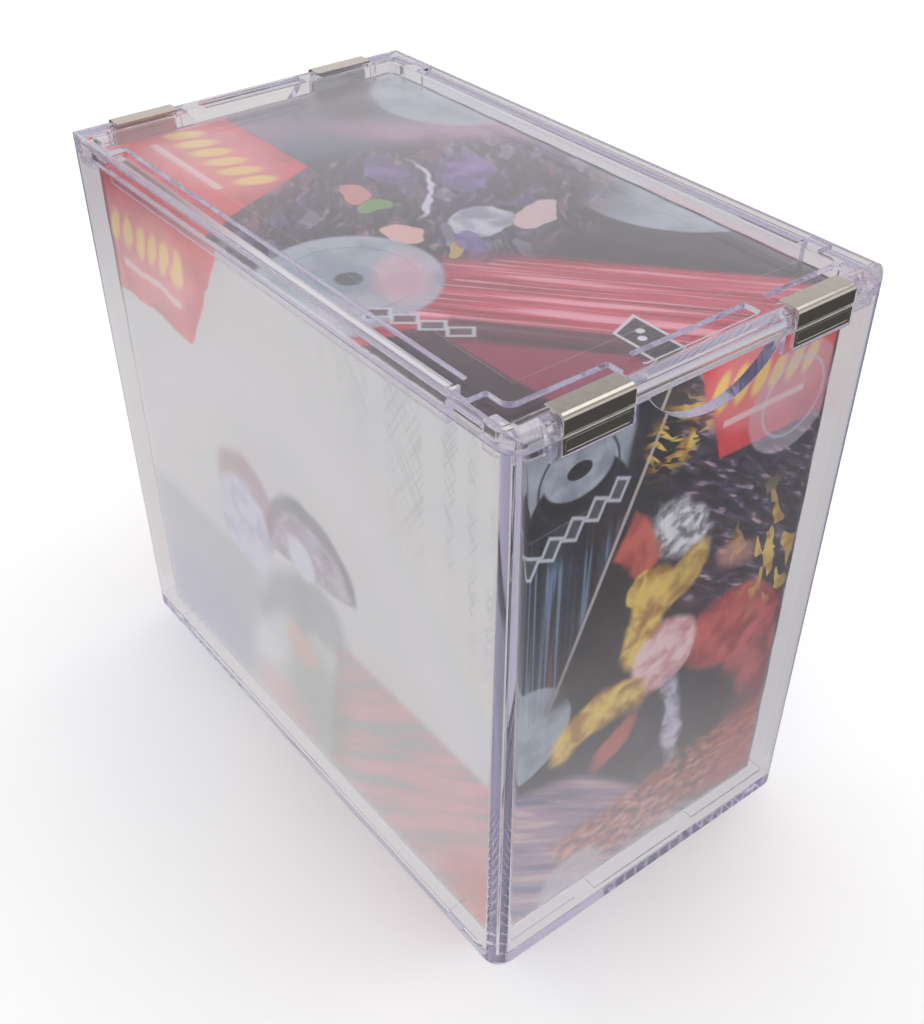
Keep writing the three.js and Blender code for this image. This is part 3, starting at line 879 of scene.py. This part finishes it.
def film_skin():
    """A finely divided box of film with round edges, drawn in a little towards its corners."""
    low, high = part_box("shrink_film")
    centre = (low + high) / 2
    half = (high - low) / 2 - Vector((1, 1, 1)) * FILM_INSET * MM
    mesh = bmesh.new()
    bmesh.ops.create_cube(mesh, size=2.0)
    for vertex in mesh.verts:
        vertex.co = Vector(a * b for a, b in zip(vertex.co, half))
    for axis in range(3):
        count = round(2 * half[axis] / (FILM_CELL * MM))
        edges = [
            edge for edge in mesh.edges
            if abs((edge.verts[0].co - edge.verts[1].co)[axis]) > half[axis]
        ]
        bmesh.ops.subdivide_edges(mesh, edges=edges, cuts=count - 1, use_grid_fill=True)
    for vertex in mesh.verts:
        vertex.co = film_point(vertex.co, half) + centre
    return mesh


def film_point(point, half):
    """Where a point of the plain box goes: round at the edges, puckered near the corners."""
    radius = FILM_CORNER * MM
    core = Vector(max(-h + radius, min(h - radius, p)) for p, h in zip(point, half))
    away = point - core
    if away.length > 0:
        point = core + away.normalized() * radius
    nearness = sorted(
        max(0.0, 1 - (h - abs(p)) / (PUCKER_REACH * MM)) for p, h in zip(point, half)
    )
    pull = nearness[-2] * nearness[-1]
    x, y, z = (p / (length * MM) for p, length in zip(point, PUCKER_WAVES))
    wave = math.sin(x) * math.sin(y + z)
    return point - away.normalized() * FILM_PUCKER * MM * pull * (0.5 + 0.5 * wave)


def make_film(film):
    """The film round the carton, as a thin skin with an inside."""
    skin = to_object(film_skin(), "shrink_wrap", [film], "carton")
    solidify = skin.modifiers.new("skin", "SOLIDIFY")
    solidify.thickness = FILM_SKIN * MM
    solidify.offset = -1.0
    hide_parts("shrink_film")


# ---- Stage ----


def sight(tree, through, piped, mirrored):
    """The set colour of the room as plastic, light pipes and mirrors show it, and where that applies;
    the floor glows it as painted light.

    A ray sees the first colour straight through plastic, the second when it turned inside one
    wall or turned more than once, and the third in any other single reflection. Straight views
    and the lighting itself use none of them.
    """
    path = tree.nodes.new("ShaderNodeLightPath")
    crossed = Formula(tree, path.outputs["Transmission Depth"])
    passed = crossed.smaller(1.0)
    turns = Formula(tree, path.outputs["Glossy Depth"])
    one_wall = (-abs(crossed - 2.0) + 1.0).larger(0.0)
    once = (-abs(turns - 1.0) + 1.0).larger(0.0) * (-one_wall + 1.0)
    led = (turns - once).larger(0.0).smaller(1.0)
    colour = mix_colours(tree, mix_colours(tree, through, piped, led), mirrored, once)
    looking = -Formula(tree, path.outputs["Is Diffuse Ray"]) + 1.0
    return colour, passed.larger(once) * looking


def make_floor():
    """A white sheet. Through plastic and in reflections it glows set colours as painted light: white
    near the case and in front of it, a painted dark reflection beyond.
    """
    material, tree, output = new_material("floor")
    place = object_place(tree)
    speckle = noise(tree, place, 14.0, 3.0)
    white = mix_colours(tree, rgba((248, 248, 248)), rgba((252, 252, 252)), speckle)
    paper = principled(tree, Base_Color=white, Roughness=0.9, Specular_IOR_Level=0.1)
    away = add_node(tree, "ShaderNodeVectorMath", place, SHEET_MIDDLE, operation="DISTANCE")
    beyond = Formula(tree, away.outputs["Value"]).ramp(*SHEET_FADE)
    # Painted reflection: the sheet's white near the case, turning to a painted dark further away
    mirrored = mix_colours(tree, rgba((240, 239, 235)), rgba((50, 50, 51)), beyond)
    colour, share = sight(tree, rgba((214, 213, 209)), PIPED_LIGHT, mirrored)
    # Painted light: where share applies, the sheet glows these set colours instead of being lit
    glow = add_node(tree, "ShaderNodeEmission", colour)
    mix = add_node(tree, "ShaderNodeMixShader", share, paper.outputs[0], glow.outputs[0])
    tree.links.new(mix.outputs[0], output.inputs["Surface"])
    data = bpy.data.meshes.new("floor")
    reach = FLOOR_REACH
    corners = [(-reach, -reach, 0), (reach, -reach, 0), (reach, reach, 0), (-reach, reach, 0)]
    data.from_pydata(corners, [], [(0, 1, 2, 3)])
    data.materials.append(material)
    floor = bpy.data.objects.new("floor", data)
    floor.location.z = -FLOOR_DROP * MM
    bpy.context.scene.collection.objects.link(floor)


def make_world():
    """A white room, a little darker round the horizon."""
    world = bpy.data.worlds.new("studio")
    bpy.context.scene.world = world
    world.use_nodes = True
    world.cycles.sampling_method = "NONE"
    tree = world.node_tree
    tree.nodes.clear()
    output = tree.nodes.new("ShaderNodeOutputWorld")
    direction = add_node(
        tree, "ShaderNodeSeparateXYZ", tree.nodes.new("ShaderNodeTexCoord").outputs["Generated"]
    )
    height = Formula(tree, direction.outputs[2])
    lit = mix_colours(tree, rgba((240, 240, 244)), rgba((255, 255, 255)), height.ramp(0.0, 0.5))
    mirrored = mix_colours(tree, rgba((236, 234, 234)), rgba((158, 156, 156)), height.ramp(0.30, 0.62))
    seen, share = sight(tree, rgba((224, 223, 221)), PIPED_LIGHT, mirrored)
    colour = mix_colours(tree, lit, seen, share)
    background = add_node(tree, "ShaderNodeBackground", colour, 1.0)
    tree.links.new(background.outputs[0], output.inputs["Surface"])


def add_softbox(name, place, aim, size, power):
    """A rectangular light that points at its aim."""
    data = bpy.data.lights.new(name, "AREA")
    data.shape = "RECTANGLE"
    data.size, data.size_y = size
    data.energy = power
    light = bpy.data.objects.new(name, data)
    light.location = place
    light.visible_transmission = False  # or it would glare in every light pipe
    light.rotation_mode = "QUATERNION"
    light.rotation_quaternion = (Vector(aim) - Vector(place)).to_track_quat("-Z", "Y")
    bpy.context.scene.collection.objects.link(light)


def heading(azimuth, elevation):
    """The unit vector from the middle towards a viewer: azimuth 0 stands at -Y, 90 at +X."""
    a, e = math.radians(azimuth), math.radians(elevation)
    return Vector((math.sin(a) * math.cos(e), -math.cos(a) * math.cos(e), math.sin(e)))


def make_camera():
    """The camera, placed round the middle of the CAD box."""
    low, high = CAD_BOX
    data = bpy.data.cameras.new("camera")
    data.lens = LENS
    data.sensor_width = SENSOR
    data.shift_x, data.shift_y = SHIFT
    data.clip_start = 0.005
    camera = bpy.data.objects.new("camera", data)
    camera.location = (low + high) / 2 + heading(STAND_AZIMUTH, STAND_ELEVATION) * STAND_DISTANCE
    camera.rotation_mode = "QUATERNION"
    look = (-heading(LOOK_AZIMUTH, LOOK_DOWN)).to_track_quat("-Z", "Y").to_matrix()
    camera.rotation_quaternion = (look @ Matrix.Rotation(math.radians(ROLL), 3, "Z")).to_quaternion()
    bpy.context.scene.collection.objects.link(camera)
    bpy.context.scene.camera = camera


def make_stage():
    """Floor, world, lights and camera, and how the renderer follows light."""
    make_floor()
    make_world()
    for softbox in SOFTBOXES:
        add_softbox(*softbox)
    make_camera()
    scene = bpy.context.scene
    scene.view_settings.view_transform = "Standard"
    scene.cycles.max_bounces = MAX_BOUNCES
    scene.cycles.transmission_bounces = TRANSMISSION_BOUNCES
    scene.cycles.glossy_bounces = GLOSSY_BOUNCES
    scene.cycles.transparent_max_bounces = TRANSPARENT_BOUNCES


make_case(clear_plastic(), nickel_plate())
make_carton(raw_board())
make_film(shrink_film())
make_stage()
